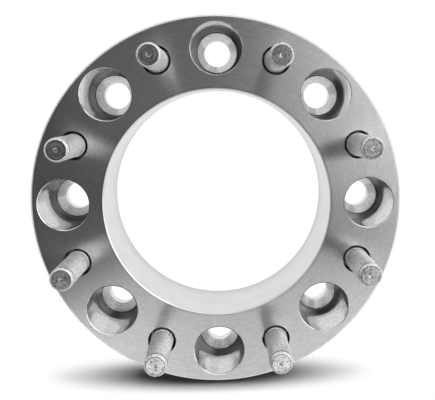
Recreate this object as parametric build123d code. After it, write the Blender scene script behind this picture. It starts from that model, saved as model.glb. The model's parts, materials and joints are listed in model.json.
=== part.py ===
from build123d import *
import os
from math import cos, radians, sin, tan

# Bolt-on wheel spacer lying on its hub side. The origin is the centre of the hub-side face,
# +Z runs along the axle towards the wheel, and one lug hole lies at +Y.

# Ring, in millimetres
thickness = 50.8
bore_dia = 126.0
rim_wall = 3.85
outer_chamfer = 1.0
bore_chamfer = 0.7

# Bolt circle, shared by the lug holes and the studs
bolt_circle_dia = 170.0
stud_count = 8

# Lug holes: they pass the hub's own studs, and their nuts seat in the cone at the bottom
lug_hole_dia = 15.5
nut_seat_width = 4.05
nut_seat_angle = 60.0
pocket_floor_width = 2.2
web_under_nut = 14.5
hole_chamfer = 0.5

# Wheel studs: the thread starts at the wheel side, and the head is pulled up into a pocket. Below the
# thread the shank is plain and as thick as the thread's pitch diameter, as rolling leaves it
thread_dia = 14.0
thread_pitch = 1.5
stud_reach = 40.0
end_chamfer = 1.2
lead_length = 2.6
web_over_head = 25.4
head_dia = 22.4
head_height = 5.0
head_chamfer = 0.7
underhead_chamfer = 0.3

# Splines that hold a stud in its hole
spline_length = 12.0
spline_teeth = 48
spline_depth = 0.45
spline_lead = 0.6

# Clearances, each on the radius
stud_hole_clearance = 0.95
head_pocket_clearance = 1.3
spline_clearance = 0.02

# Depths of an external metric thread's pitch line and root as shares of its pitch
pitch_line_share = 0.3248
root_depth_share = 0.6134

# Cutters reach this far past the face that they open
cut_past = 1.0

bore_radius = bore_dia / 2
bolt_circle_radius = bolt_circle_dia / 2
lug_hole_radius = lug_hole_dia / 2
nut_seat_radius = lug_hole_radius + nut_seat_width
nut_pocket_radius = nut_seat_radius + pocket_floor_width
outer_radius = bolt_circle_radius + nut_pocket_radius + rim_wall
thread_radius = thread_dia / 2
stud_hole_radius = thread_radius + stud_hole_clearance
head_pocket_radius = head_dia / 2 + head_pocket_clearance
head_seat_z = thickness - web_over_head


def turned(outline):
    """A solid turned about Z from an outline of radius and height that starts and ends on the axis."""
    return revolve(make_face(Plane.XZ * Polyline(*outline, close=True)), Axis.Z)


def ring_blank():
    """The turned ring with the edges of its rim and bore broken."""
    section_width = outer_radius - bore_radius
    section = Pos(bore_radius + section_width / 2, thickness / 2) * Rectangle(section_width, thickness)
    section = chamfer(section.vertices().group_by(Axis.X)[0], bore_chamfer)
    section = chamfer(section.vertices().group_by(Axis.X)[-1], outer_chamfer)
    return revolve(Plane.XZ * section, Axis.Z)


def lug_hole():
    """Cutter for one lug hole: through hole, conical nut seat and the pocket for nut and socket."""
    seat_depth = nut_seat_width / tan(radians(nut_seat_angle / 2))
    return turned(
        [
            (0, -cut_past),
            (lug_hole_radius + hole_chamfer + cut_past, -cut_past),
            (lug_hole_radius, hole_chamfer),
            (lug_hole_radius, web_under_nut - seat_depth),
            (nut_seat_radius, web_under_nut),
            (nut_pocket_radius, web_under_nut),
            (nut_pocket_radius, thickness - hole_chamfer),
            (nut_pocket_radius + hole_chamfer + cut_past, thickness + cut_past),
            (0, thickness + cut_past),
        ]
    )


def stud_hole():
    """Cutter for one stud hole: head pocket in the hub side and a plain hole through the web."""
    return turned(
        [
            (0, -cut_past),
            (head_pocket_radius + hole_chamfer + cut_past, -cut_past),
            (head_pocket_radius, hole_chamfer),
            (head_pocket_radius, head_seat_z),
            (stud_hole_radius, head_seat_z),
            (stud_hole_radius, thickness + cut_past),
            (0, thickness + cut_past),
        ]
    )


def stud_body():
    """One stud without its splines: round head, plain shank, thread, lead and chamfered end."""
    head_radius = head_dia / 2
    head_bottom_z = head_seat_z - head_height
    shank_radius = thread_radius - pitch_line_share * thread_pitch
    root_radius = thread_radius - root_depth_share * thread_pitch
    shank_top_z = thickness - (thread_radius - shank_radius)
    end_z = thickness + stud_reach
    lead_top_z = end_z - end_chamfer
    lead_bottom_z = lead_top_z - lead_length
    thread_top_z = lead_bottom_z - (thread_radius - root_radius)
    return turned(
        [
            (0, head_bottom_z),
            (head_radius - head_chamfer, head_bottom_z),
            (head_radius, head_bottom_z + head_chamfer),
            (head_radius, head_seat_z - underhead_chamfer),
            (head_radius - underhead_chamfer, head_seat_z),
            (shank_radius, head_seat_z),
            (shank_radius, shank_top_z),
            (thread_radius, thickness),
            (thread_radius, thread_top_z),
            (root_radius, lead_bottom_z),
            (root_radius, lead_top_z),
            (root_radius - end_chamfer, end_z),
            (0, end_z),
        ]
    )


def spline_collar():
    """V-shaped splines above the head, cut back at their leading end to start in the hole."""
    crest_radius = stud_hole_radius - spline_clearance
    valley_radius = crest_radius - spline_depth
    half_tooth = radians(180 / spline_teeth)
    outline = []
    for tooth in range(spline_teeth):
        crest_angle = 2 * tooth * half_tooth
        valley_angle = crest_angle + half_tooth
        outline.append((crest_radius * cos(crest_angle), crest_radius * sin(crest_angle)))
        outline.append((valley_radius * cos(valley_angle), valley_radius * sin(valley_angle)))
    teeth = extrude(make_face(Polyline(*outline, close=True)), spline_length)
    lead_cone = turned(
        [
            (0, 0),
            (crest_radius + cut_past, 0),
            (crest_radius + cut_past, spline_length - spline_lead - cut_past),
            (crest_radius - spline_lead, spline_length),
            (0, spline_length),
        ]
    )
    return Pos(0, 0, head_seat_z) * (teeth & lead_cone)


# Lug holes and studs take turns round the bolt circle
half_step = 180 / stud_count
lug_places = PolarLocations(bolt_circle_radius, stud_count)
stud_places = PolarLocations(bolt_circle_radius, stud_count, half_step)

ring = ring_blank()
ring -= lug_places * lug_hole()
ring -= stud_places * stud_hole()

stud = stud_body() + spline_collar()

parts = {"spacer_ring": ring}
for number, place in enumerate(stud_places, start=1):
    parts[f"wheel_stud_{number}"] = place * stud

os.makedirs("parts", exist_ok=True)
for node, solid in parts.items():
    export_step(solid, f"parts/{node}.step")
    print(node, "volume", round(solid.volume), "mm3")
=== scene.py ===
"""Looks of a thick bolt-on wheel spacer that lies on its hub side, seen from above, wheel side up."""

import json
import math

import bpy
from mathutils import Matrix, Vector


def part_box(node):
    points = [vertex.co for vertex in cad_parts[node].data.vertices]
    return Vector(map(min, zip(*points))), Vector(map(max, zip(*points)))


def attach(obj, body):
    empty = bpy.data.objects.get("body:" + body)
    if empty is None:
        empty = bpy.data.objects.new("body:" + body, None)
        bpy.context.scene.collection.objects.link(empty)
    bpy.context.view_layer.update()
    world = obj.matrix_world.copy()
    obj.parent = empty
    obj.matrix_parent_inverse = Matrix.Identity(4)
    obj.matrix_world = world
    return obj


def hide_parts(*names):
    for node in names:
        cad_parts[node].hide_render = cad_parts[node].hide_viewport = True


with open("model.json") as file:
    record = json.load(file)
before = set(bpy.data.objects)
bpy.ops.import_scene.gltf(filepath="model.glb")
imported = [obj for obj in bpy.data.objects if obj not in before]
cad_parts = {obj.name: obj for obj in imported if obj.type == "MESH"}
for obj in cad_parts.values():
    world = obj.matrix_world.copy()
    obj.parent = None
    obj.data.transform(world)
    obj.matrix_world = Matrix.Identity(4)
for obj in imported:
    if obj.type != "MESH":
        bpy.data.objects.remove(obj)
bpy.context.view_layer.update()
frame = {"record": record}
mounts = {mount["name"]: mount["dims"] for mount in frame["record"]["mounts"]}
mm = 0.001


# ------------------------------------------------------------------------------------ spacer ring
# One ring of billet aluminium, sawn from bar and turned all over. Eight lug holes are bored from the
# wheel side down to a conical nut seat, and eight stud holes between them are drilled right through.

ring_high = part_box("spacer_ring")[1]
hole_count = mounts["lug_holes"]["count"]
lug_radius = mounts["lug_holes"]["hole_r_mm"] * mm
nut_seat_width = 4.05 * mm
pocket_floor_width = 2.2 * mm
ring_sizes = {
    "Outer radius": ring_high.x,
    "Bore radius": mounts["hub_pilot_bore"]["r_mm"] * mm,
    "Thickness": ring_high.z,
    "Rim chamfer": 1.0 * mm,
    "Bore chamfer": 0.7 * mm,
    "Circle radius": mounts["lug_holes"]["pcd_mm"] * mm / 2,
    "Lug radius": lug_radius,
    "Nut seat radius": lug_radius + nut_seat_width,
    "Nut seat depth": 7.015 * mm,
    "Pocket radius": lug_radius + nut_seat_width + pocket_floor_width,
    "Web": 14.5 * mm,
    "Stud hole radius": 7.95 * mm,
    "Head pocket radius": 12.5 * mm,
    "Head seat height": 25.4 * mm,
    "Hole chamfer": 0.5 * mm,
}
# Points nearer to each other than this are one point
touching = 0.001 * mm


def add(tree, kind, inputs=None, **settings):
    """Adds a node with its settings, and links or fills its inputs by name or number."""
    node = tree.nodes.new(kind)
    for name, value in settings.items():
        setattr(node, name, value)
    for key, value in (inputs or {}).items():
        if isinstance(value, bpy.types.NodeSocket):
            tree.links.new(value, node.inputs[key])
        else:
            node.inputs[key].default_value = value
    return node


def calc(tree, operation, *values):
    """The result of a math node on sockets or numbers."""
    return add(tree, "ShaderNodeMath", dict(enumerate(values)), operation=operation).outputs[0]


def vector(tree, x=0.0, y=0.0, z=0.0):
    """A vector from its parts."""
    return add(tree, "ShaderNodeCombineXYZ", {"X": x, "Y": y, "Z": z}).outputs[0]


def parts_of(tree, point):
    """The outputs X, Y and Z of a vector."""
    return add(tree, "ShaderNodeSeparateXYZ", {0: point}).outputs


def length_of(tree, x, y):
    """The length of a flat vector, never quite zero."""
    squares = calc(tree, "MULTIPLY_ADD", x, x, calc(tree, "MULTIPLY", y, y))
    return calc(tree, "MAXIMUM", calc(tree, "SQRT", squares), touching)


def new_group(name, kind, takes, gives):
    """A node group with named inputs and outputs: the tree, the input sockets and the output node."""
    tree = bpy.data.node_groups.new(name, kind)
    for title, socket in takes.items():
        tree.interface.new_socket(title, in_out="INPUT", socket_type=socket)
    for title, socket in gives.items():
        tree.interface.new_socket(title, in_out="OUTPUT", socket_type=socket)
    return tree, tree.nodes.new("NodeGroupInput").outputs, tree.nodes.new("NodeGroupOutput")


def turned_shape():
    """Geometry node group that turns an outline of radius (X) and height (Z) about Z."""
    tree, given, result = new_group(
        "turned_shape",
        "GeometryNodeTree",
        {"Outline": "NodeSocketGeometry", "Segments": "NodeSocketInt"},
        {"Mesh": "NodeSocketGeometry"},
    )
    size = add(tree, "GeometryNodeAttributeDomainSize", {"Geometry": given["Outline"]})
    count = size.outputs["Point Count"]
    columns = calc(tree, "ADD", given["Segments"], 1)
    grid = add(tree, "GeometryNodeMeshGrid", {"Vertices X": columns, "Vertices Y": count})
    # Each column of the grid takes the outline's points and is turned to its own angle
    index = add(tree, "GeometryNodeInputIndex").outputs[0]
    column = calc(tree, "FLOOR", calc(tree, "DIVIDE", calc(tree, "ADD", index, 0.5), count))
    row = calc(tree, "SUBTRACT", index, calc(tree, "MULTIPLY", column, count))
    place = add(tree, "GeometryNodeInputPosition").outputs[0]
    picked = add(
        tree,
        "GeometryNodeSampleIndex",
        {"Geometry": given["Outline"], "Value": place, "Index": row},
        data_type="FLOAT_VECTOR",
    )
    point = parts_of(tree, picked.outputs[0])
    angle = calc(tree, "DIVIDE", calc(tree, "MULTIPLY", column, math.tau), given["Segments"])
    around = vector(
        tree,
        calc(tree, "MULTIPLY", point["X"], calc(tree, "COSINE", angle)),
        calc(tree, "MULTIPLY", point["X"], calc(tree, "SINE", angle)),
        point["Z"],
    )
    bent = add(tree, "GeometryNodeSetPosition", {"Geometry": grid.outputs["Mesh"], "Position": around})
    closed = add(
        tree, "GeometryNodeMergeByDistance", {"Geometry": bent.outputs[0], "Distance": touching}
    )
    tree.links.new(closed.outputs[0], result.inputs[0])
    return tree


turned_group = turned_shape()


def turned(tree, points, segments):
    """Geometry nodes for a solid turned from an outline of (radius, height) points."""
    line = add(tree, "GeometryNodeMeshLine", {"Count": len(points)}).outputs[0]
    pick = add(tree, "GeometryNodeIndexSwitch", data_type="VECTOR")
    while len(pick.index_switch_items) < len(points):
        pick.index_switch_items.new()
    tree.links.new(add(tree, "GeometryNodeInputIndex").outputs[0], pick.inputs[0])
    for number, (radius, height) in enumerate(points, start=1):
        tree.links.new(vector(tree, x=radius, z=height), pick.inputs[number])
    outline = add(tree, "GeometryNodeSetPosition", {"Geometry": line, "Position": pick.outputs[0]})
    given = {"Outline": outline.outputs[0], "Segments": segments}
    return add(tree, "GeometryNodeGroup", given, node_tree=turned_group).outputs[0]


def made_by(tree, name, sizes):
    """A plain mesh object made by a geometry node tree from named sizes."""
    piece = bpy.data.objects.new(name, bpy.data.meshes.new(name))
    bpy.context.scene.collection.objects.link(piece)
    shape = piece.modifiers.new("shape", "NODES")
    shape.node_group = tree
    for item in tree.interface.items_tree:
        if item.in_out == "INPUT":
            shape[item.identifier] = sizes[item.name]
    done = piece.evaluated_get(bpy.context.evaluated_depsgraph_get())
    mesh = bpy.data.meshes.new_from_object(done)
    piece.modifiers.clear()
    piece.data = mesh
    mesh.shade_smooth()
    mesh.set_sharp_from_angle(angle=math.radians(25))
    return piece


def lathe_lay():
    """Shader node group for the fine rings a cutting tool leaves round the Z axis."""
    tree, given, result = new_group(
        "lathe_lay",
        "ShaderNodeTree",
        {
            "Point": "NodeSocketVector",
            "Marks per metre": "NodeSocketFloat",
            "Run": "NodeSocketFloat",
            "Detail": "NodeSocketFloat",
        },
        {"Marks": "NodeSocketFloat"},
    )
    point = parts_of(tree, given["Point"])
    across = length_of(tree, point["X"], point["Y"])
    # The marks follow each other out along a face, and up along a wall
    along = calc(tree, "MULTIPLY_ADD", point["Z"], 0.7, across)
    spot = vector(
        tree,
        calc(tree, "MULTIPLY", calc(tree, "DIVIDE", point["X"], across), given["Run"]),
        calc(tree, "MULTIPLY", calc(tree, "DIVIDE", point["Y"], across), given["Run"]),
        calc(tree, "MULTIPLY", along, given["Marks per metre"]),
    )
    noise = add(
        tree,
        "ShaderNodeTexNoise",
        {"Vector": spot, "Scale": 1.0, "Detail": given["Detail"], "Roughness": 0.65},
    )
    tree.links.new(noise.outputs[0], result.inputs[0])
    return tree


lay_group = lathe_lay()


def handling():
    """Shader node group for soft smudges and small specks that handling leaves on bare metal."""
    tree, given, result = new_group(
        "handling",
        "ShaderNodeTree",
        {"Point": "NodeSocketVector", "Smudge size": "NodeSocketFloat", "Speck size": "NodeSocketFloat"},
        {"Smudges": "NodeSocketFloat", "Specks": "NodeSocketFloat"},
    )
    smudge = add(
        tree,
        "ShaderNodeTexNoise",
        {
            "Vector": given["Point"],
            "Scale": calc(tree, "DIVIDE", 1.0, given["Smudge size"]),
            "Detail": 3.0,
            "Roughness": 0.5,
            "Distortion": 0.4,
        },
    )
    speck = add(
        tree,
        "ShaderNodeTexNoise",
        {
            "Vector": given["Point"],
            "Scale": calc(tree, "DIVIDE", 1.0, given["Speck size"]),
            "Detail": 2.0,
            "Roughness": 0.6,
        },
    )
    # Only the highest peaks of the second noise are specks
    peaks = {"Value": speck.outputs[0], "From Min": 0.57, "From Max": 0.66}
    tree.links.new(smudge.outputs[0], result.inputs[0])
    tree.links.new(add(tree, "ShaderNodeMapRange", peaks).outputs[0], result.inputs[1])
    return tree


handling_group = handling()


def metal(name, roughness, anisotropic):
    """A new all-metal material: the material, its tree, its Principled node and the object point."""
    material = bpy.data.materials.new(name)
    material.use_nodes = True
    tree = material.node_tree
    skin = tree.nodes["Principled BSDF"]
    skin.inputs["Metallic"].default_value = 1.0
    skin.inputs["Roughness"].default_value = roughness
    skin.inputs["Anisotropic"].default_value = anisotropic
    point = add(tree, "ShaderNodeTexCoord").outputs["Object"]
    return material, tree, skin, point


def tangent_across(tree, skin, x, y):
    """Turns the stretch of the highlight across rings that run round the Z axis through x = y = 0."""
    length = length_of(tree, x, y)
    # The part along Z serves the walls, where the way across the rings is the way up
    upward = 0.6
    across = vector(tree, calc(tree, "DIVIDE", x, length), calc(tree, "DIVIDE", y, length), upward)
    tree.links.new(across, skin.inputs["Tangent"])


def mapped(tree, value, low, high, reach=0.25):
    """A noise that swings round a half, spread over low to high."""
    inputs = {
        "Value": value,
        "From Min": 0.5 - reach,
        "From Max": 0.5 + reach,
        "To Min": low,
        "To Max": high,
    }
    return add(tree, "ShaderNodeMapRange", inputs).outputs[0]


def mixed(tree, factor, first, second):
    """A colour between two by a factor. The mix node has its colours in inputs 6 and 7 and output 2."""
    inputs = {0: factor, 6: first, 7: second}
    return add(tree, "ShaderNodeMix", inputs, data_type="RGBA").outputs[2]


def grey_mix(tree, factor, dark, light):
    """A colour between two fixed ones by a factor."""
    return mixed(tree, factor, (*dark, 1.0), (*light, 1.0))


def darkened(tree, colour, factor, depth):
    """A colour that goes nearly black where a factor is high."""
    return mixed(tree, calc(tree, "MULTIPLY", factor, depth), colour, (0.02, 0.02, 0.02, 1.0))


def grooved(tree, point, marks, run, detail=4.0):
    """The lathe lay at a point: marks to the metre across it, and how soon they change along it."""
    inputs = {"Point": point, "Marks per metre": marks, "Run": run, "Detail": detail}
    return add(tree, "ShaderNodeGroup", inputs, node_tree=lay_group).outputs[0]


def smudged(tree, point, size):
    """The smudges of about a size that handling leaves, at a point."""
    inputs = {"Point": point, "Smudge size": size}
    return add(tree, "ShaderNodeGroup", inputs, node_tree=handling_group).outputs["Smudges"]


def specked(tree, point, size):
    """The specks of about a size that handling leaves, at a point."""
    inputs = {"Point": point, "Speck size": size}
    return add(tree, "ShaderNodeGroup", inputs, node_tree=handling_group).outputs["Specks"]


def band(tree, value, middle, half_width):
    """One at a value, falling smoothly to nothing at half a width from it."""
    off = calc(tree, "ABSOLUTE", calc(tree, "SUBTRACT", value, middle))
    inputs = {"Value": off, "From Min": 0.0, "From Max": half_width, "To Min": 1.0, "To Max": 0.0}
    return add(tree, "ShaderNodeMapRange", inputs, interpolation_type="SMOOTHSTEP").outputs[0]


def finished(tree, skin, colour, rough, height, relief, deep):
    """Gives the metal its colour and roughness, and bumps of a height at a strength and a depth."""
    tree.links.new(colour, skin.inputs["Base Color"])
    tree.links.new(rough, skin.inputs["Roughness"])
    bump = add(tree, "ShaderNodeBump", {"Strength": relief, "Distance": deep, "Height": height})
    tree.links.new(bump.outputs[0], skin.inputs["Normal"])


def turned_face():
    """Both faces, faced off in the lathe: fine rings, a slight grain and a band of painted shade at the
    bore's edge.
    """
    material, tree, skin, point = metal("turned_face", roughness=0.28, anisotropic=0.85)
    where = parts_of(tree, point)
    tangent_across(tree, skin, where["X"], where["Y"])
    lay = grooved(tree, point, marks=1000.0, run=19.0)
    grain = smudged(tree, point, 1.1 * mm)
    smudges = smudged(tree, point, 30 * mm)
    grain_tone = mapped(tree, grain, 0.0, 0.4, reach=0.14)
    tone = calc(tree, "ADD", grain_tone, mapped(tree, lay, 0.0, 0.6, reach=0.14))
    colour = grey_mix(tree, tone, dark=(0.77, 0.77, 0.77), light=(0.97, 0.97, 0.96))
    # Painted shade: the face goes darker in a band along its edge at the bore
    inner_edge = ring_sizes["Bore radius"] + ring_sizes["Bore chamfer"]
    bore_edge_shade = band(tree, length_of(tree, where["X"], where["Y"]), inner_edge, half_width=1.1 * mm)
    colour = darkened(tree, colour, bore_edge_shade, depth=0.35)
    rough = mapped(tree, smudges, 0.2745, 0.288)
    finished(tree, skin, colour, rough, height=lay, relief=0.04, deep=0.01 * mm)
    return material


def turned_side():
    """Rim, bore and their chamfers, turned with a coarser feed than the faces."""
    material, tree, skin, point = metal("turned_side", roughness=0.3, anisotropic=0.6)
    where = parts_of(tree, point)
    tangent_across(tree, skin, where["X"], where["Y"])
    lay = grooved(tree, point, marks=3000.0, run=2.0)
    smudges = smudged(tree, point, 12 * mm)
    lay_tone = mapped(tree, lay, 0.0, 0.5)
    tone = calc(tree, "MULTIPLY_ADD", mapped(tree, smudges, 0.0, 1.0), 0.5, lay_tone)
    colour = grey_mix(tree, tone, dark=(0.66, 0.66, 0.66), light=(0.82, 0.82, 0.82))
    rough = mapped(tree, lay, 0.26, 0.34)
    finished(tree, skin, colour, rough, height=lay, relief=0.1, deep=0.02 * mm)
    return material


def from_hole_axis(tree, point):
    """X and Y of a point from the axis of the nearest hole, its own Z, and that hole's bearing."""
    where = parts_of(tree, point)
    # Lug holes and stud holes take turns, so half a step between lug holes is a whole one here
    step = math.pi / hole_count
    turn = calc(tree, "ARCTAN2", where["Y"], where["X"])
    bearing = calc(tree, "MULTIPLY", calc(tree, "ROUND", calc(tree, "DIVIDE", turn, step)), step)
    circle_radius = ring_sizes["Circle radius"]
    middle_x = calc(tree, "MULTIPLY", calc(tree, "COSINE", bearing), circle_radius)
    middle_y = calc(tree, "MULTIPLY", calc(tree, "SINE", bearing), circle_radius)
    x = calc(tree, "SUBTRACT", where["X"], middle_x)
    y = calc(tree, "SUBTRACT", where["Y"], middle_y)
    return x, y, where["Z"], bearing


def own_point(tree, x, y, z, bearing):
    """A point from its hole's axis, raised by the hole's bearing, so that no two holes are alike."""
    rise_per_radian = 50 * mm
    return vector(tree, x, y, calc(tree, "MULTIPLY_ADD", bearing, rise_per_radian, z))


def bored_aluminium(
    name, dark, light, roughness, anisotropic, shares, mottle, pits, painted_shade_lines=(), relief=0.3, film=0.0
):
    """One surface of the holes: rings round the hole's axis, chatter, mottling and painted shade lines.

    Shares are how much of the tone is rings, chatter with painted reflection sectors and mottling, and
    pits is how dark the specks are.
    Each painted shade line is across or up, then its place, half width and depth. Relief is the strength
    of the bumps, and film is the share of a burnished layer that mirrors more sharply than the metal.
    """
    material, tree, skin, point = metal(name, roughness, anisotropic)
    skin.inputs["Coat Weight"].default_value = film
    skin.inputs["Coat Roughness"].default_value = 0.07
    x, y, z, bearing = from_hole_axis(tree, point)
    tangent_across(tree, skin, x, y)
    own = own_point(tree, x, y, z, bearing)
    lay = grooved(tree, own, marks=1000.0, run=0.6, detail=2.0)
    # This noise also paints light and dark sectors that stand for reflections on the seat
    chatter_and_sheen = grooved(tree, own, marks=5.0, run=0.9, detail=0.6)
    smudges = smudged(tree, point, mottle)
    specks = specked(tree, point, mottle / 2)
    # Each noise is spread by how far it swings round a half
    reaches = (0.15, 0.035, 0.12)
    tone = 0.0
    for share, marks, reach in zip(shares, (lay, chatter_and_sheen, smudges), reaches):
        tone = calc(tree, "ADD", tone, mapped(tree, marks, 0.0, share, reach))
    colour = grey_mix(tree, tone, (dark, dark, dark), (light, light, light))
    colour = darkened(tree, colour, specks, pits)
    places = {"across": length_of(tree, x, y), "up": z}
    # Dark bands of painted shade along edges and corners of the holes
    for way, place, half_width, depth in painted_shade_lines:
        colour = darkened(tree, colour, band(tree, places[way], place, half_width), depth)
    swing = 0.12 * roughness
    rough = mapped(tree, lay, roughness - swing, roughness + swing)
    rough = calc(tree, "ADD", rough, mapped(tree, smudges, -swing, swing))
    finished(tree, skin, colour, rough, height=tone, relief=relief, deep=0.04 * mm)
    return material


def drilled_wall():
    """Walls of the through holes, straight from the drill."""
    return bored_aluminium(
        "drilled_wall",
        dark=0.9,
        light=1.0,
        roughness=0.2,
        anisotropic=0.5,
        shares=(0.5, 0.0, 0.5),
        mottle=4 * mm,
        pits=0.1,
    )


def nut_seat():
    """The conical seats, with light and dark sectors like chatter, painted in for the cone's reflection,
    and a painted shade line round the outer edge.
    """
    return bored_aluminium(
        "nut_seat",
        dark=0.56,
        light=1.0,
        roughness=0.26,
        anisotropic=0.88,
        shares=(0.3, 0.65, 0.05),
        mottle=2 * mm,
        pits=0.05,
        # Painted shade: a dark line round the seat's outer edge
        painted_shade_lines=[("across", ring_sizes["Nut seat radius"], 0.5 * mm, 0.9)],
    )


def pocket_floor():
    """The flat step round each seat, with dark lines of painted shade at the seat's edge, in the corner
    with the wall and between them.
    """
    seat = ring_sizes["Nut seat radius"]
    return bored_aluminium(
        "pocket_floor",
        dark=0.4,
        light=0.9,
        roughness=0.36,
        anisotropic=0.85,
        shares=(0.9, 0.05, 0.05),
        mottle=2 * mm,
        pits=0.1,
        # Painted shade lines: at the seat's edge, one a little further out, and in the corner with the
        # wall
        painted_shade_lines=[
            ("across", seat + 0.1 * mm, 0.4 * mm, 0.95),
            ("across", seat + 1.2 * mm, 0.5 * mm, 0.6),
            ("across", ring_sizes["Pocket radius"], 0.3 * mm, 0.6),
        ],
    )


def pocket_wall():
    """The walls of the pockets, burnished so bright that they mirror the floor, with painted shade lines
    at the foot and under the mouth.
    """
    return bored_aluminium(
        "pocket_wall",
        dark=0.5,
        light=0.9,
        roughness=0.13,
        anisotropic=0.3,
        shares=(0.25, 0.3, 0.45),
        mottle=2 * mm,
        pits=0.3,
        # Painted shade lines: at the foot of the wall and just under the mouth
        painted_shade_lines=[
            ("up", ring_sizes["Web"], 0.2 * mm, 0.5),
            ("up", ring_sizes["Thickness"] - 0.7 * mm, 0.4 * mm, 0.8),
        ],
        relief=0.1,
        film=1.0,
    )


def broken_edge():
    """The small chamfer at the mouth of each pocket, with a painted shade line along its lower edge."""
    return bored_aluminium(
        "broken_edge",
        dark=0.72,
        light=0.9,
        roughness=0.22,
        anisotropic=0.5,
        shares=(0.5, 0.0, 0.5),
        mottle=2 * mm,
        pits=0.05,
        # Painted shade: a dark line along the chamfer's lower edge
        painted_shade_lines=[("up", ring_sizes["Thickness"] - 0.5 * mm, 0.2 * mm, 0.7)],
    )


def spacer_ring_shape():
    """Geometry node tree of the ring: a turned blank less eight lug holes and eight stud holes."""
    tree, size, result = new_group(
        "spacer_ring_shape",
        "GeometryNodeTree",
        {title: "NodeSocketFloat" for title in ring_sizes},
        {"Mesh": "NodeSocketGeometry"},
    )
    # Cutters reach this far past the faces
    past = 1.0 * mm
    high = size["Thickness"]
    rim, bore, edge = size["Rim chamfer"], size["Bore chamfer"], size["Hole chamfer"]
    flare = calc(tree, "ADD", edge, past)
    rim_in = calc(tree, "SUBTRACT", size["Outer radius"], rim)
    bore_out = calc(tree, "ADD", size["Bore radius"], bore)
    above = calc(tree, "ADD", high, past)
    below_top = calc(tree, "SUBTRACT", high, edge)
    blank = turned(
        tree,
        [
            (rim_in, 0.0),
            (size["Outer radius"], rim),
            (size["Outer radius"], calc(tree, "SUBTRACT", high, rim)),
            (rim_in, high),
            (bore_out, high),
            (size["Bore radius"], calc(tree, "SUBTRACT", high, bore)),
            (size["Bore radius"], bore),
            (bore_out, 0.0),
            (rim_in, 0.0),
        ],
        segments=256,
    )
    lug_hole = turned(
        tree,
        [
            (0.0, -past),
            (calc(tree, "ADD", size["Lug radius"], flare), -past),
            (size["Lug radius"], edge),
            (size["Lug radius"], calc(tree, "SUBTRACT", size["Web"], size["Nut seat depth"])),
            (size["Nut seat radius"], size["Web"]),
            (size["Pocket radius"], size["Web"]),
            (size["Pocket radius"], below_top),
            (calc(tree, "ADD", size["Pocket radius"], flare), above),
            (0.0, above),
        ],
        segments=96,
    )
    stud_hole = turned(
        tree,
        [
            (0.0, -past),
            (calc(tree, "ADD", size["Head pocket radius"], flare), -past),
            (size["Head pocket radius"], edge),
            (size["Head pocket radius"], size["Head seat height"]),
            (size["Stud hole radius"], size["Head seat height"]),
            (size["Stud hole radius"], above),
            (0.0, above),
        ],
        segments=72,
    )
    # Lug holes and stud holes take turns round the bolt circle
    circle = add(
        tree, "GeometryNodeMeshCircle", {"Vertices": hole_count, "Radius": size["Circle radius"]}
    ).outputs[0]
    between = add(
        tree,
        "GeometryNodeTransform",
        {"Geometry": circle, "Rotation": (0.0, 0.0, math.pi / hole_count)},
    ).outputs[0]
    cutters = add(tree, "GeometryNodeJoinGeometry")
    for places, cutter in ((circle, lug_hole), (between, stud_hole)):
        holes = add(tree, "GeometryNodeInstanceOnPoints", {"Points": places, "Instance": cutter})
        tree.links.new(holes.outputs[0], cutters.inputs[0])
    tools = add(tree, "GeometryNodeRealizeInstances", {"Geometry": cutters.outputs[0]})
    cut = add(
        tree,
        "GeometryNodeMeshBoolean",
        {"Mesh 1": blank, "Mesh 2": tools.outputs[0]},
        operation="DIFFERENCE",
        solver="EXACT",
    )

    # Each finish is laid by where the middle of a face is and which way it looks
    x, y, z = from_hole_axis(tree, add(tree, "GeometryNodeInputPosition").outputs[0])[:3]
    normal = add(tree, "GeometryNodeInputNormal").outputs[0]
    level = calc(tree, "ABSOLUTE", parts_of(tree, normal)["Z"])
    hole_reach = calc(tree, "ADD", size["Pocket radius"], edge)
    in_hole = calc(tree, "LESS_THAN", length_of(tree, x, y), hole_reach)
    # The two turned faces are kept out by a hair
    hair = 0.01 * mm
    off_faces = calc(
        tree,
        "MULTIPLY",
        calc(tree, "LESS_THAN", z, calc(tree, "SUBTRACT", high, hair)),
        calc(tree, "GREATER_THAN", z, hair),
    )
    inside = calc(tree, "MULTIPLY", in_hole, off_faces)

    def inside_above(height):
        """Faces inside the holes, above a height."""
        return calc(tree, "MULTIPLY", inside, calc(tree, "GREATER_THAN", z, height))

    # Faces this near to level are flat. The middle of a seat face is half its depth below the floor,
    # and the floor is told from seat and wall by a small step
    flat = 0.9
    below_seat = calc(tree, "MULTIPLY", size["Nut seat depth"], 0.6)
    step = 0.1 * mm
    # Each finish covers the ones before it on the faces that are chosen for it. The tree ends in Realize
    # Instances and Set Material, because the export drops instances
    finishes = [
        (None, turned_side()),
        (calc(tree, "GREATER_THAN", level, flat), turned_face()),
        (inside, drilled_wall()),
        (inside_above(calc(tree, "SUBTRACT", size["Web"], below_seat)), nut_seat()),
        (inside_above(calc(tree, "SUBTRACT", size["Web"], step)), pocket_floor()),
        (inside_above(calc(tree, "ADD", size["Web"], step)), pocket_wall()),
        (inside_above(below_top), broken_edge()),
    ]
    done = add(tree, "GeometryNodeRealizeInstances", {"Geometry": cut.outputs[0]}).outputs[0]
    for chosen, material in finishes:
        coat = add(tree, "GeometryNodeSetMaterial", {"Geometry": done, "Material": material})
        if chosen is not None:
            tree.links.new(chosen, coat.inputs["Selection"])
        done = coat.outputs[0]
    tree.links.new(done, result.inputs[0])
    return tree


spacer_ring = made_by(spacer_ring_shape(), "machined_ring", ring_sizes)
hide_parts("spacer_ring")
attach(spacer_ring, "root")


# ----------------------------------------------------------------------------------- wheel studs
# Eight plated steel studs, pressed in from the hub side until their heads seat. Each has a rolled
# M14 x 1.5 thread over the part that stands out, a turned end with a centre mark, and V splines.

stud_low, stud_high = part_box("wheel_stud_1")
thread_radius = mounts["wheel_studs"]["stud_r_mm"] * mm
pitch = 1.5 * mm
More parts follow.
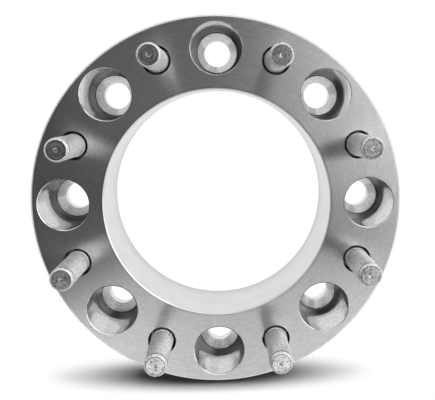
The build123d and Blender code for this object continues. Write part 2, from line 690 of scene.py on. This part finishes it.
# Depths of a metric thread's pitch line and root as shares of its pitch
pitch_line_share = 0.3248
root_depth_share = 0.6134
spline_teeth = 48
spline_clearance = 0.02 * mm
stud_sizes = {
    "Head radius": (stud_high.x - stud_low.x) / 2,
    "Head bottom": stud_low.z,
    "Head top": ring_sizes["Head seat height"],
    "Face": ring_high.z,
    "End": stud_high.z,
    "Thread radius": thread_radius,
    "Shank radius": thread_radius - pitch_line_share * pitch,
    "Root radius": thread_radius - root_depth_share * pitch,
    "Pitch": pitch,
    "Lead": 2.6 * mm,
    "End chamfer": 1.2 * mm,
    "Centre mark": 1.1 * mm,
    "Spline radius": ring_sizes["Stud hole radius"] - spline_clearance,
    "Spline depth": 0.45 * mm,
    "Spline length": 12.0 * mm,
    "Centre X": 0.0,
    "Centre Y": 0.0,
    "Turn": 0.0,
}


def plated_steel():
    """Shank, thread and head: plating over rolled steel, dull and full of fine dark specks."""
    material, tree, skin, point = metal("plated_steel", roughness=0.42, anisotropic=0.0)
    skin.inputs["Metallic"].default_value = 0.78
    height = parts_of(tree, point)["Z"]
    smudges = smudged(tree, point, 4 * mm)
    grain = smudged(tree, point, 0.9 * mm)
    specks = specked(tree, point, 1.1 * mm)
    smudge_tone = mapped(tree, smudges, 0.0, 0.4)
    tone = calc(tree, "ADD", smudge_tone, mapped(tree, grain, 0.0, 0.6, reach=0.12))
    colour = grey_mix(tree, tone, dark=(0.72, 0.72, 0.71), light=(0.99, 0.99, 0.98))
    colour = darkened(tree, colour, specks, depth=0.7)
    # Painted shade: dark lines round the chamfer and a dark band over the lead, each at so many chamfers
    # below the end
    shade_bands = [(0.1, 0.3 * mm, 0.8), (0.68, 0.2 * mm, 0.7), (2.0, 1.5 * mm, 0.75)]
    for down, half_width, depth in shade_bands:
        line_height = stud_sizes["End"] - down * stud_sizes["End chamfer"]
        colour = darkened(tree, colour, band(tree, height, line_height, half_width), depth)
    rough = calc(tree, "MULTIPLY_ADD", specks, 0.15, mapped(tree, smudges, 0.38, 0.46))
    finished(tree, skin, colour, rough, height=grain, relief=0.3, deep=0.03 * mm)
    return material


def turned_stud_end():
    """The flat end: rings round the stud's own axis, with darker flecks where the plating is thin and
    painted shade round its rim.
    """
    material, tree, skin, point = metal("turned_stud_end", roughness=0.3, anisotropic=0.3)
    x, y, z, bearing = from_hole_axis(tree, point)
    tangent_across(tree, skin, x, y)
    lay = grooved(tree, own_point(tree, x, y, z, bearing), marks=1300.0, run=0.8)
    specks = specked(tree, point, 0.8 * mm)
    tone = mapped(tree, lay, 0.0, 1.0, reach=0.12)
    colour = grey_mix(tree, tone, dark=(0.56, 0.56, 0.55), light=(0.92, 0.92, 0.91))
    colour = darkened(tree, colour, specks, depth=0.9)
    end_radius = stud_sizes["Root radius"] - stud_sizes["End chamfer"]
    # Painted shade: a dark line round the rim of the flat end
    edge = band(tree, length_of(tree, x, y), end_radius, half_width=0.4 * mm)
    colour = darkened(tree, colour, edge, depth=0.65)
    rough = calc(tree, "MULTIPLY_ADD", specks, 0.2, mapped(tree, lay, 0.24, 0.36))
    finished(tree, skin, colour, rough, height=lay, relief=0.35, deep=0.04 * mm)
    return material


def spline_collar(tree, size):
    """V splines: a star of points, raised, and drawn in at the top so that it starts in its hole."""
    circle = add(
        tree,
        "GeometryNodeMeshCircle",
        {"Vertices": 2 * spline_teeth, "Radius": size["Spline radius"]},
        fill_type="NGON",
    ).outputs[0]
    # Every other point is pulled in to the foot of a tooth
    odd = calc(tree, "MODULO", add(tree, "GeometryNodeInputIndex").outputs[0], 2.0)
    foot_radius = calc(tree, "SUBTRACT", size["Spline radius"], size["Spline depth"])
    foot = calc(tree, "DIVIDE", foot_radius, size["Spline radius"])
    pull = calc(tree, "MULTIPLY", odd, calc(tree, "SUBTRACT", foot, 1.0))
    share = calc(tree, "ADD", 1.0, pull)
    place = add(tree, "GeometryNodeInputPosition").outputs[0]
    scaled = {"Vector": place, "Scale": share}
    pulled = add(tree, "ShaderNodeVectorMath", scaled, operation="SCALE").outputs[0]
    star = add(tree, "GeometryNodeSetPosition", {"Geometry": circle, "Position": pulled}).outputs[0]
    seat = vector(tree, z=size["Head top"])
    star = add(tree, "GeometryNodeTransform", {"Geometry": star, "Translation": seat}).outputs[0]
    # The last part of the length narrows to this share of its width
    up = vector(tree, z=1.0)
    lead_share = 0.05
    lead_width = 0.925
    collar = add(
        tree,
        "GeometryNodeExtrudeMesh",
        {
            "Mesh": star,
            "Offset": up,
            "Offset Scale": calc(tree, "MULTIPLY", size["Spline length"], 1.0 - lead_share),
            "Individual": False,
        },
    )
    lead_in = add(
        tree,
        "GeometryNodeExtrudeMesh",
        {
            "Mesh": collar.outputs[0],
            "Selection": collar.outputs["Top"],
            "Offset": up,
            "Offset Scale": calc(tree, "MULTIPLY", size["Spline length"], lead_share),
            "Individual": False,
        },
    )
    return add(
        tree,
        "GeometryNodeScaleElements",
        {"Geometry": lead_in.outputs[0], "Selection": lead_in.outputs["Top"], "Scale": lead_width},
    ).outputs[0]


def rolled_thread(tree, size, lead_top):
    """A 60 degree ridge swept up a helix that fades out at both ends."""
    # It starts just clear of the face and stops just short of the lead
    start = calc(tree, "MULTIPLY_ADD", size["Pitch"], 0.55, size["Face"])
    finish = calc(tree, "SUBTRACT", lead_top, calc(tree, "MULTIPLY", size["Lead"], 1.1))
    rise = calc(tree, "SUBTRACT", finish, start)
    helix = add(
        tree,
        "GeometryNodeCurveSpiral",
        {
            "Resolution": 48,
            "Rotations": calc(tree, "DIVIDE", rise, size["Pitch"]),
            "Start Radius": size["Root radius"],
            "End Radius": size["Root radius"],
            "Height": rise,
        },
    ).outputs[0]
    lift = vector(tree, z=start)
    lifted = add(tree, "GeometryNodeTransform", {"Geometry": helix, "Translation": lift}).outputs[0]
    upright = add(tree, "GeometryNodeSetCurveNormal", {"Curve": lifted}, mode="Z_UP").outputs[0]
    # The ridge starts a little inside the root, so that it and the body are one
    sink = 0.06 * mm
    deep = calc(tree, "SUBTRACT", size["Thread radius"], size["Root radius"])
    half_crest = calc(tree, "DIVIDE", size["Pitch"], 16.0)
    flank = calc(tree, "MULTIPLY", calc(tree, "ADD", deep, sink), math.tan(math.radians(30)))
    half_base = calc(tree, "ADD", flank, half_crest)
    corners = [
        (-sink, calc(tree, "MULTIPLY", half_base, -1.0)),
        (deep, calc(tree, "MULTIPLY", half_crest, -1.0)),
        (deep, half_crest),
        (-sink, half_base),
    ]
    ridge = add(tree, "GeometryNodeCurvePrimitiveQuadrilateral", mode="POINTS")
    for number, (out, along) in enumerate(corners, start=1):
        tree.links.new(vector(tree, out, along), ridge.inputs[f"Point {number}"])
    way = add(tree, "GeometryNodeSplineParameter").outputs["Factor"]
    near_end = calc(tree, "MINIMUM", way, calc(tree, "SUBTRACT", 1.0, way))
    # The ridge grows from its thinnest to full height within the first and the last turn
    thinnest = 0.08
    growth = 34.0
    fade = calc(tree, "MULTIPLY_ADD", near_end, growth, thinnest)
    fade = calc(tree, "MINIMUM", fade, 1.0)
    return add(
        tree,
        "GeometryNodeCurveToMesh",
        {"Curve": upright, "Profile Curve": ridge.outputs[0], "Scale": fade, "Fill Caps": True},
    ).outputs[0]


def wheel_stud_shape():
    """Geometry node tree of one stud: turned body and end, spline collar and thread."""
    tree, size, result = new_group(
        "wheel_stud_shape",
        "GeometryNodeTree",
        {title: "NodeSocketFloat" for title in stud_sizes},
        {"Mesh": "NodeSocketGeometry"},
    )
    head_chamfer = 0.7 * mm
    under_head = 0.3 * mm
    run_out = calc(tree, "MULTIPLY", size["Pitch"], 0.2)
    lead_top = calc(tree, "SUBTRACT", size["End"], size["End chamfer"])
    end_radius = calc(tree, "SUBTRACT", size["Root radius"], size["End chamfer"])
    body = turned(
        tree,
        [
            (0.0, size["Head bottom"]),
            (calc(tree, "SUBTRACT", size["Head radius"], head_chamfer), size["Head bottom"]),
            (size["Head radius"], calc(tree, "ADD", size["Head bottom"], head_chamfer)),
            (size["Head radius"], calc(tree, "SUBTRACT", size["Head top"], under_head)),
            (calc(tree, "SUBTRACT", size["Head radius"], under_head), size["Head top"]),
            (size["Shank radius"], size["Head top"]),
            (size["Shank radius"], calc(tree, "SUBTRACT", size["Face"], run_out)),
            (size["Root radius"], calc(tree, "ADD", size["Face"], run_out)),
            (size["Root radius"], lead_top),
            (end_radius, size["End"]),
        ],
        segments=64,
    )
    # The centre mark is a shallow cone with a broken edge
    mark = size["Centre mark"]
    mark_edge = calc(tree, "MULTIPLY", mark, 0.05)
    mark_depth = calc(tree, "MULTIPLY", mark, 0.3)
    end = turned(
        tree,
        [
            (end_radius, size["End"]),
            (calc(tree, "ADD", mark, mark_edge), size["End"]),
            (mark, calc(tree, "SUBTRACT", size["End"], mark_edge)),
            (0.0, calc(tree, "SUBTRACT", size["End"], mark_depth)),
        ],
        segments=64,
    )
    joined = add(tree, "GeometryNodeJoinGeometry")
    for shape in (body, spline_collar(tree, size), rolled_thread(tree, size, lead_top), end):
        tree.links.new(shape, joined.inputs[0])
    closed = add(
        tree, "GeometryNodeMergeByDistance", {"Geometry": joined.outputs[0], "Distance": touching}
    )
    placed = add(
        tree,
        "GeometryNodeTransform",
        {
            "Geometry": closed.outputs[0],
            "Translation": vector(tree, size["Centre X"], size["Centre Y"]),
            "Rotation": vector(tree, z=size["Turn"]),
        },
    )
    # All of it is plated but the flat end and its mark, which take the turned finish. This tree too ends
    # in Realize Instances and Set Material, because the export drops instances
    where =parts_of(tree, add(tree, "GeometryNodeInputPosition").outputs[0])
    from_x = calc(tree, "SUBTRACT", where["X"], size["Centre X"])
    from_y = calc(tree, "SUBTRACT", where["Y"], size["Centre Y"])
    near_axis = calc(tree, "LESS_THAN", length_of(tree, from_x, from_y), end_radius)
    at_end = calc(tree, "GREATER_THAN", where["Z"], calc(tree, "SUBTRACT", size["End"], mark_depth))
    realized = add(tree, "GeometryNodeRealizeInstances", {"Geometry": placed.outputs[0]}).outputs[0]
    plated = add(tree, "GeometryNodeSetMaterial", {"Geometry": realized, "Material": plated_steel()})
    done = add(
        tree,
        "GeometryNodeSetMaterial",
        {
            "Geometry": plated.outputs[0],
            "Selection": calc(tree, "MULTIPLY", near_axis, at_end),
            "Material": turned_stud_end(),
        },
    )
    tree.links.new(done.outputs[0], result.inputs[0])
    return tree


stud_tree = wheel_stud_shape()
studs = []
for number in range(1, hole_count + 1):
    low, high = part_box(f"wheel_stud_{number}")
    # Each stud is pressed in at a turn of its own
    own_sizes = {
        "Centre X": (low.x + high.x) / 2,
        "Centre Y": (low.y + high.y) / 2,
        "Turn": 2.4 * number,
    }
    stud = made_by(stud_tree, f"threaded_stud_{number}", stud_sizes | own_sizes)
    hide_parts(f"wheel_stud_{number}")
    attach(stud, "root")
    studs.append(stud)


# ---------------------------------------------------------------------------------------- studio
# A pale floor with a lamp of its own, three softboxes, one of them for the studs alone, and a dim room
# that brightens towards the horizon. Three glowing plates under the ring light its holes from below.

plate_radius = 0.97 * ring_high.x
bore_plate_radius = 0.6 * plate_radius


def flat_piece(name, corners, height, material):
    """A flat stage piece from its corners."""
    mesh = bpy.data.meshes.new(name)
    mesh.from_pydata([(x, y, height) for x, y in corners], [], [tuple(range(len(corners)))])
    mesh.materials.append(material)
    piece = bpy.data.objects.new(name, mesh)
    bpy.context.scene.collection.objects.link(piece)
    return piece


def plain(name, grey, glow):
    """A matt stage material of one grey that may shine."""
    material = bpy.data.materials.new(name)
    material.use_nodes = True
    skin = material.node_tree.nodes["Principled BSDF"]
    skin.inputs["Base Color"].default_value = (grey, grey, grey, 1.0)
    skin.inputs["Roughness"].default_value = 1.0
    skin.inputs["Specular IOR Level"].default_value = 0.0
    skin.inputs["Emission Color"].default_value = (1.0, 1.0, 1.0, 1.0)
    skin.inputs["Emission Strength"].default_value = glow
    return material


def disc(x, y, half_x, half_y, count=96):
    """Corners of a flat ellipse."""
    turns = [math.tau * n / count for n in range(count)]
    return [(x + half_x * math.cos(turn), y + half_y * math.sin(turn)) for turn in turns]


floor_corners = [(-6.0, -6.0), (6.0, -6.0), (6.0, 6.0), (-6.0, 6.0)]
floor = flat_piece("floor", floor_corners, -0.4 * mm, plain("pale_floor", 0.1, 0.0))

# Only the camera sees light_plate. The holes mirror the dimmer hole_plate, and bore_plate lights the bore
glow = plain("plate_glow", 0.02, 1.02)
plate_disc = disc(0.0, 0.0, plate_radius, plate_radius)
light_plate = flat_piece("light_plate", plate_disc, -0.2 * mm, glow)
light_plate.visible_glossy = light_plate.visible_diffuse = False
bore_disc = disc(0.0, 0.0, bore_plate_radius, bore_plate_radius)
flat_piece("bore_plate", bore_disc, -0.25 * mm, glow)
hole_glow = plain("hole_plate_glow", 0.02, 0.8)
hole_plate = flat_piece("hole_plate", plate_disc, -0.3 * mm, hole_glow)
hole_plate.visible_camera = False

# The flag is never seen, and lays a soft shadow on the floor in front of the ring
flag_disc = disc(-5.0 * mm, -90.0 * mm, 58.0 * mm, 7.6 * mm)
flag = flat_piece("shadow_flag", flag_disc, 0.6, plain("flag_black", 0.02, 0.0))
flag.visible_camera = flag.visible_glossy = flag.visible_diffuse = False


def lamp_group(name, members):
    """A collection that a lamp lights alone, or that alone shades it."""
    group = bpy.data.collections.new(name)
    for member in members:
        group.objects.link(member)
    return group


def softbox(name, place, size, turn, radiance, lit, shading):
    """A rectangular lamp as bright as the wanted radiance, facing down before it is turned."""
    lamp = bpy.data.lights.new(name, "AREA")
    lamp.shape = "RECTANGLE"
    lamp.size, lamp.size_y = size
    lamp.energy = radiance * math.pi * size[0] * size[1]
    light = bpy.data.objects.new(name, lamp)
    light.location = place
    light.rotation_euler = turn
    light.light_linking.receiver_collection = lit
    light.light_linking.blocker_collection = shading
    bpy.context.scene.collection.objects.link(light)


spacer = [spacer_ring, *studs]
spacer_only = lamp_group("spacer_only", spacer)
studs_only = lamp_group("studs_only", studs)
floor_only = lamp_group("floor_only", [floor])
floor_shade = lamp_group("floor_shade", [flag, *spacer])
lamp_height = 1.0 + ring_high.z
softbox(
    "softbox_right",
    place=(1.134, 0.711, lamp_height),
    size=(1.81, 1.583),
    turn=(0.0, 0.0, 0.297),
    radiance=1.65,
    lit=spacer_only,
    shading=spacer_only,
)
softbox(
    "softbox_low",
    place=(0.189, -0.465, lamp_height),
    size=(1.9, 0.172),
    turn=(0.0, 0.0, 0.138),
    radiance=2.47,
    lit=spacer_only,
    shading=spacer_only,
)
softbox(
    "softbox_left",
    place=(-0.8, 0.7, 0.8),
    size=(1.0, 2.0),
    turn=(0.0, -0.93, -0.72),
    radiance=0.6,
    lit=studs_only,
    shading=spacer_only,
)
softbox(
    "floor_lamp",
    place=(0.0, 0.0, 2.5),
    size=(0.2, 0.025),
    turn=(0.0, 0.0, 0.0),
    radiance=39000.0,
    lit=floor_only,
    shading=floor_shade,
)

# The room is white at the horizon and dark overhead, and brighter to the right and to the back
world = bpy.data.worlds.new("room")
bpy.context.scene.world = world
world.use_nodes = True
room = world.node_tree
way = parts_of(room, add(room, "ShaderNodeTexCoord").outputs["Generated"])
ramp = add(room, "ShaderNodeValToRGB", {"Fac": way["Z"]})
stops = ramp.color_ramp.elements
stops[0].position, stops[0].color = 0.0, (1.0, 1.0, 1.0, 1.0)
stops[1].position, stops[1].color = 0.95, (0.25, 0.25, 0.25, 1.0)
for position, grey in ((0.3, 0.9), (0.55, 0.5), (0.72, 0.22), (0.85, 0.087)):
    stops.new(position).color = (grey, grey, grey, 1.0)
walls = calc(room, "MULTIPLY_ADD", way["X"], 0.65, calc(room, "MULTIPLY_ADD", way["Y"], 0.4, 1.0))
ceiling_back = calc(room, "MULTIPLY_ADD", way["Y"], 0.95, 0.12)
ceiling = calc(room, "MULTIPLY_ADD", way["X"], 0.08, ceiling_back)
overhead = {
    "Value": way["Z"],
    "From Min": 0.55,
    "From Max": 0.72,
    "To Min": walls,
    "To Max": calc(room, "MAXIMUM", ceiling, 0.0),
}
backdrop = room.nodes["Background"]
room.links.new(ramp.outputs[0], backdrop.inputs["Color"])
room.links.new(add(room, "ShaderNodeMapRange", overhead).outputs[0], backdrop.inputs["Strength"])


# ---------------------------------------------------------------------------------------- camera
# The photograph's camera looks almost straight down on the wheel side, a little above its middle. Its
# place, turn and lens come from a fit to the edges of the ring, bore, pockets and studs.

camera = bpy.data.cameras.new("camera")
camera.sensor_width = 36.0
camera.lens = 58.56
camera.shift_x = -0.1036
view = bpy.data.objects.new("camera", camera)
bpy.context.scene.collection.objects.link(view)
view.location = (4.01 * mm, 53.17 * mm, 442.1 * mm)
view.rotation_mode = "ZXY"
view.rotation_euler = (math.radians(-7.47), math.radians(-3.06), math.radians(-0.11))
bpy.context.scene.camera = view
bpy.context.scene.view_settings.view_transform = "Standard"
